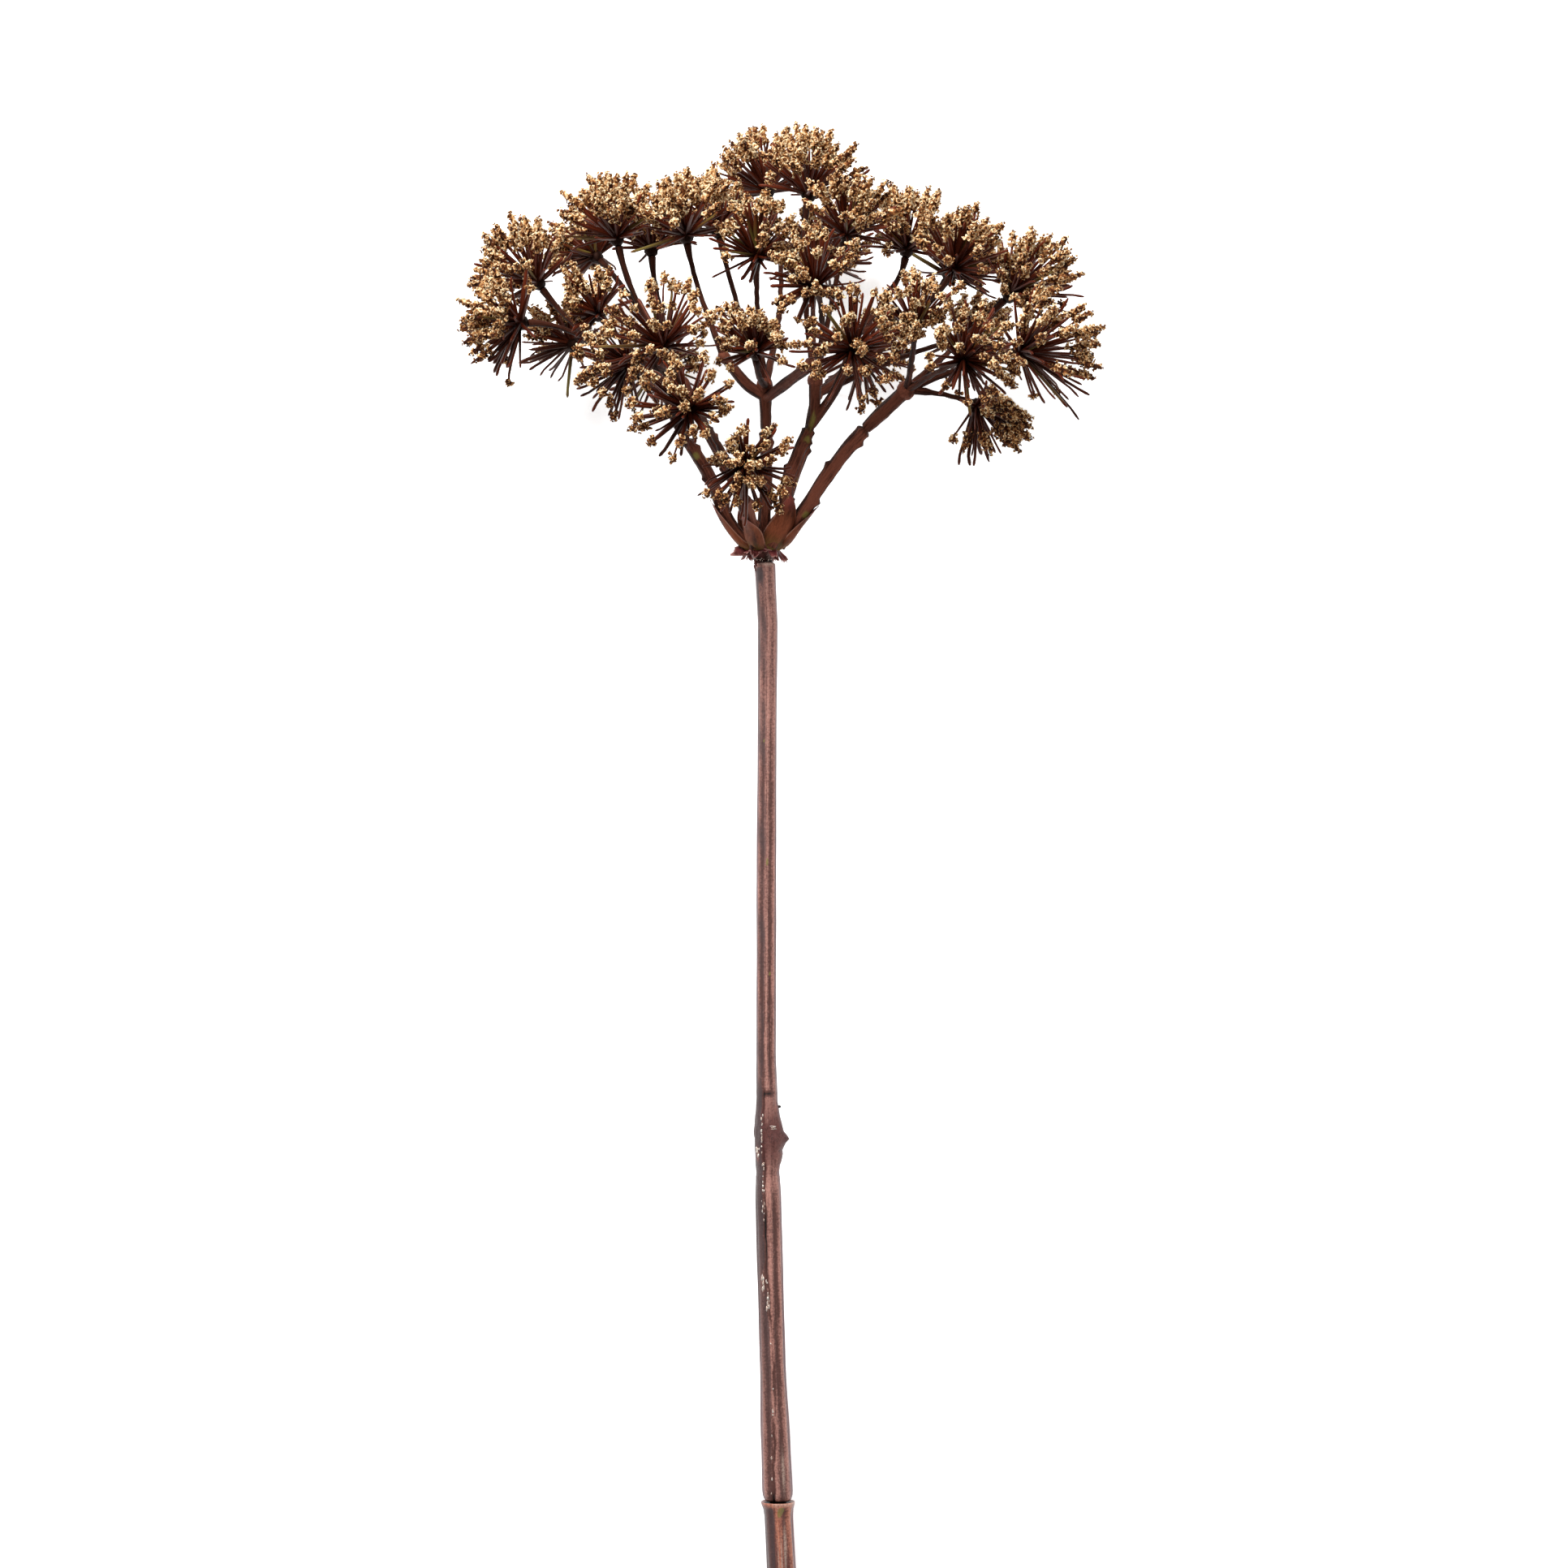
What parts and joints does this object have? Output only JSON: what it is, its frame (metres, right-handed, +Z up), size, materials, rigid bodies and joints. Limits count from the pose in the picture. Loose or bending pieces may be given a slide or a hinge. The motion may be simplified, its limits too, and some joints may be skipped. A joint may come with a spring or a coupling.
{
  "type": "queen anne's lace flower",
  "caption": "Browned flower head on its cut stem, lying down: a long ribbed stem forks into branches whose thin rays end in bursts of fine stalks tipped with dry cream florets.",
  "frame": {"origin": "under the middle of the laid flower's bounding box, on the surface that it lies on", "axes": "+Z up from the surface, +Y along the stem from its cut end towards the head, +X across the head"},
  "size_m": [0.2368, 0.5792, 0.1725],
  "materials": {
    "stem_bark": "dry ribbed mauve-brown stalk with darker grooves and pale specks",
    "branch_bark": "dark red-brown, slightly waxy, paler and more orange at the foot",
    "bract_red": "papery maroon with a paler torn edge",
    "dry_florets": "cream and tan crumbled florets on glossy dark brown stalks"
  },
  "bodies": {
    "root": {"stem": "stem_bark", "stem_foot": "stem_bark", "collar": "bract_red", "branch_right": "branch_bark", "branch_upright": "branch_bark", "branch_centre": "branch_bark", "branch_front": "branch_bark", "branch_left": "branch_bark", "branch_back_left": "branch_bark", "branch_back_right": "branch_bark", "umbellet_right_1": "dry_florets", "umbellet_right_2": "dry_florets", "umbellet_right_3": "dry_florets", "umbellet_right_4": "dry_florets", "umbellet_right_5": "dry_florets", "umbellet_upright_1": "dry_florets", "umbellet_upright_2": "dry_florets", "umbellet_upright_3": "dry_florets", "umbellet_upright_4": "dry_florets", "umbellet_upright_5": "dry_florets", "umbellet_centre_1": "dry_florets", "umbellet_centre_2": "dry_florets", "umbellet_centre_3": "dry_florets", "umbellet_centre_4": "dry_florets", "umbellet_centre_5": "dry_florets", "umbellet_centre_6": "dry_florets", "umbellet_front_1": "dry_florets", "umbellet_front_2": "dry_florets", "umbellet_front_3": "dry_florets", "umbellet_left_1": "dry_florets", "umbellet_left_2": "dry_florets", "umbellet_left_3": "dry_florets", "umbellet_left_4": "dry_florets", "umbellet_back_left_1": "dry_florets", "umbellet_back_left_2": "dry_florets", "umbellet_back_left_3": "dry_florets", "umbellet_back_left_4": "dry_florets", "umbellet_back_left_5": "dry_florets", "umbellet_back_right_1": "dry_florets", "umbellet_back_right_2": "dry_florets", "umbellet_back_right_3": "dry_florets", "umbellet_back_right_4": "dry_florets"}
  },
  "joints": []
}
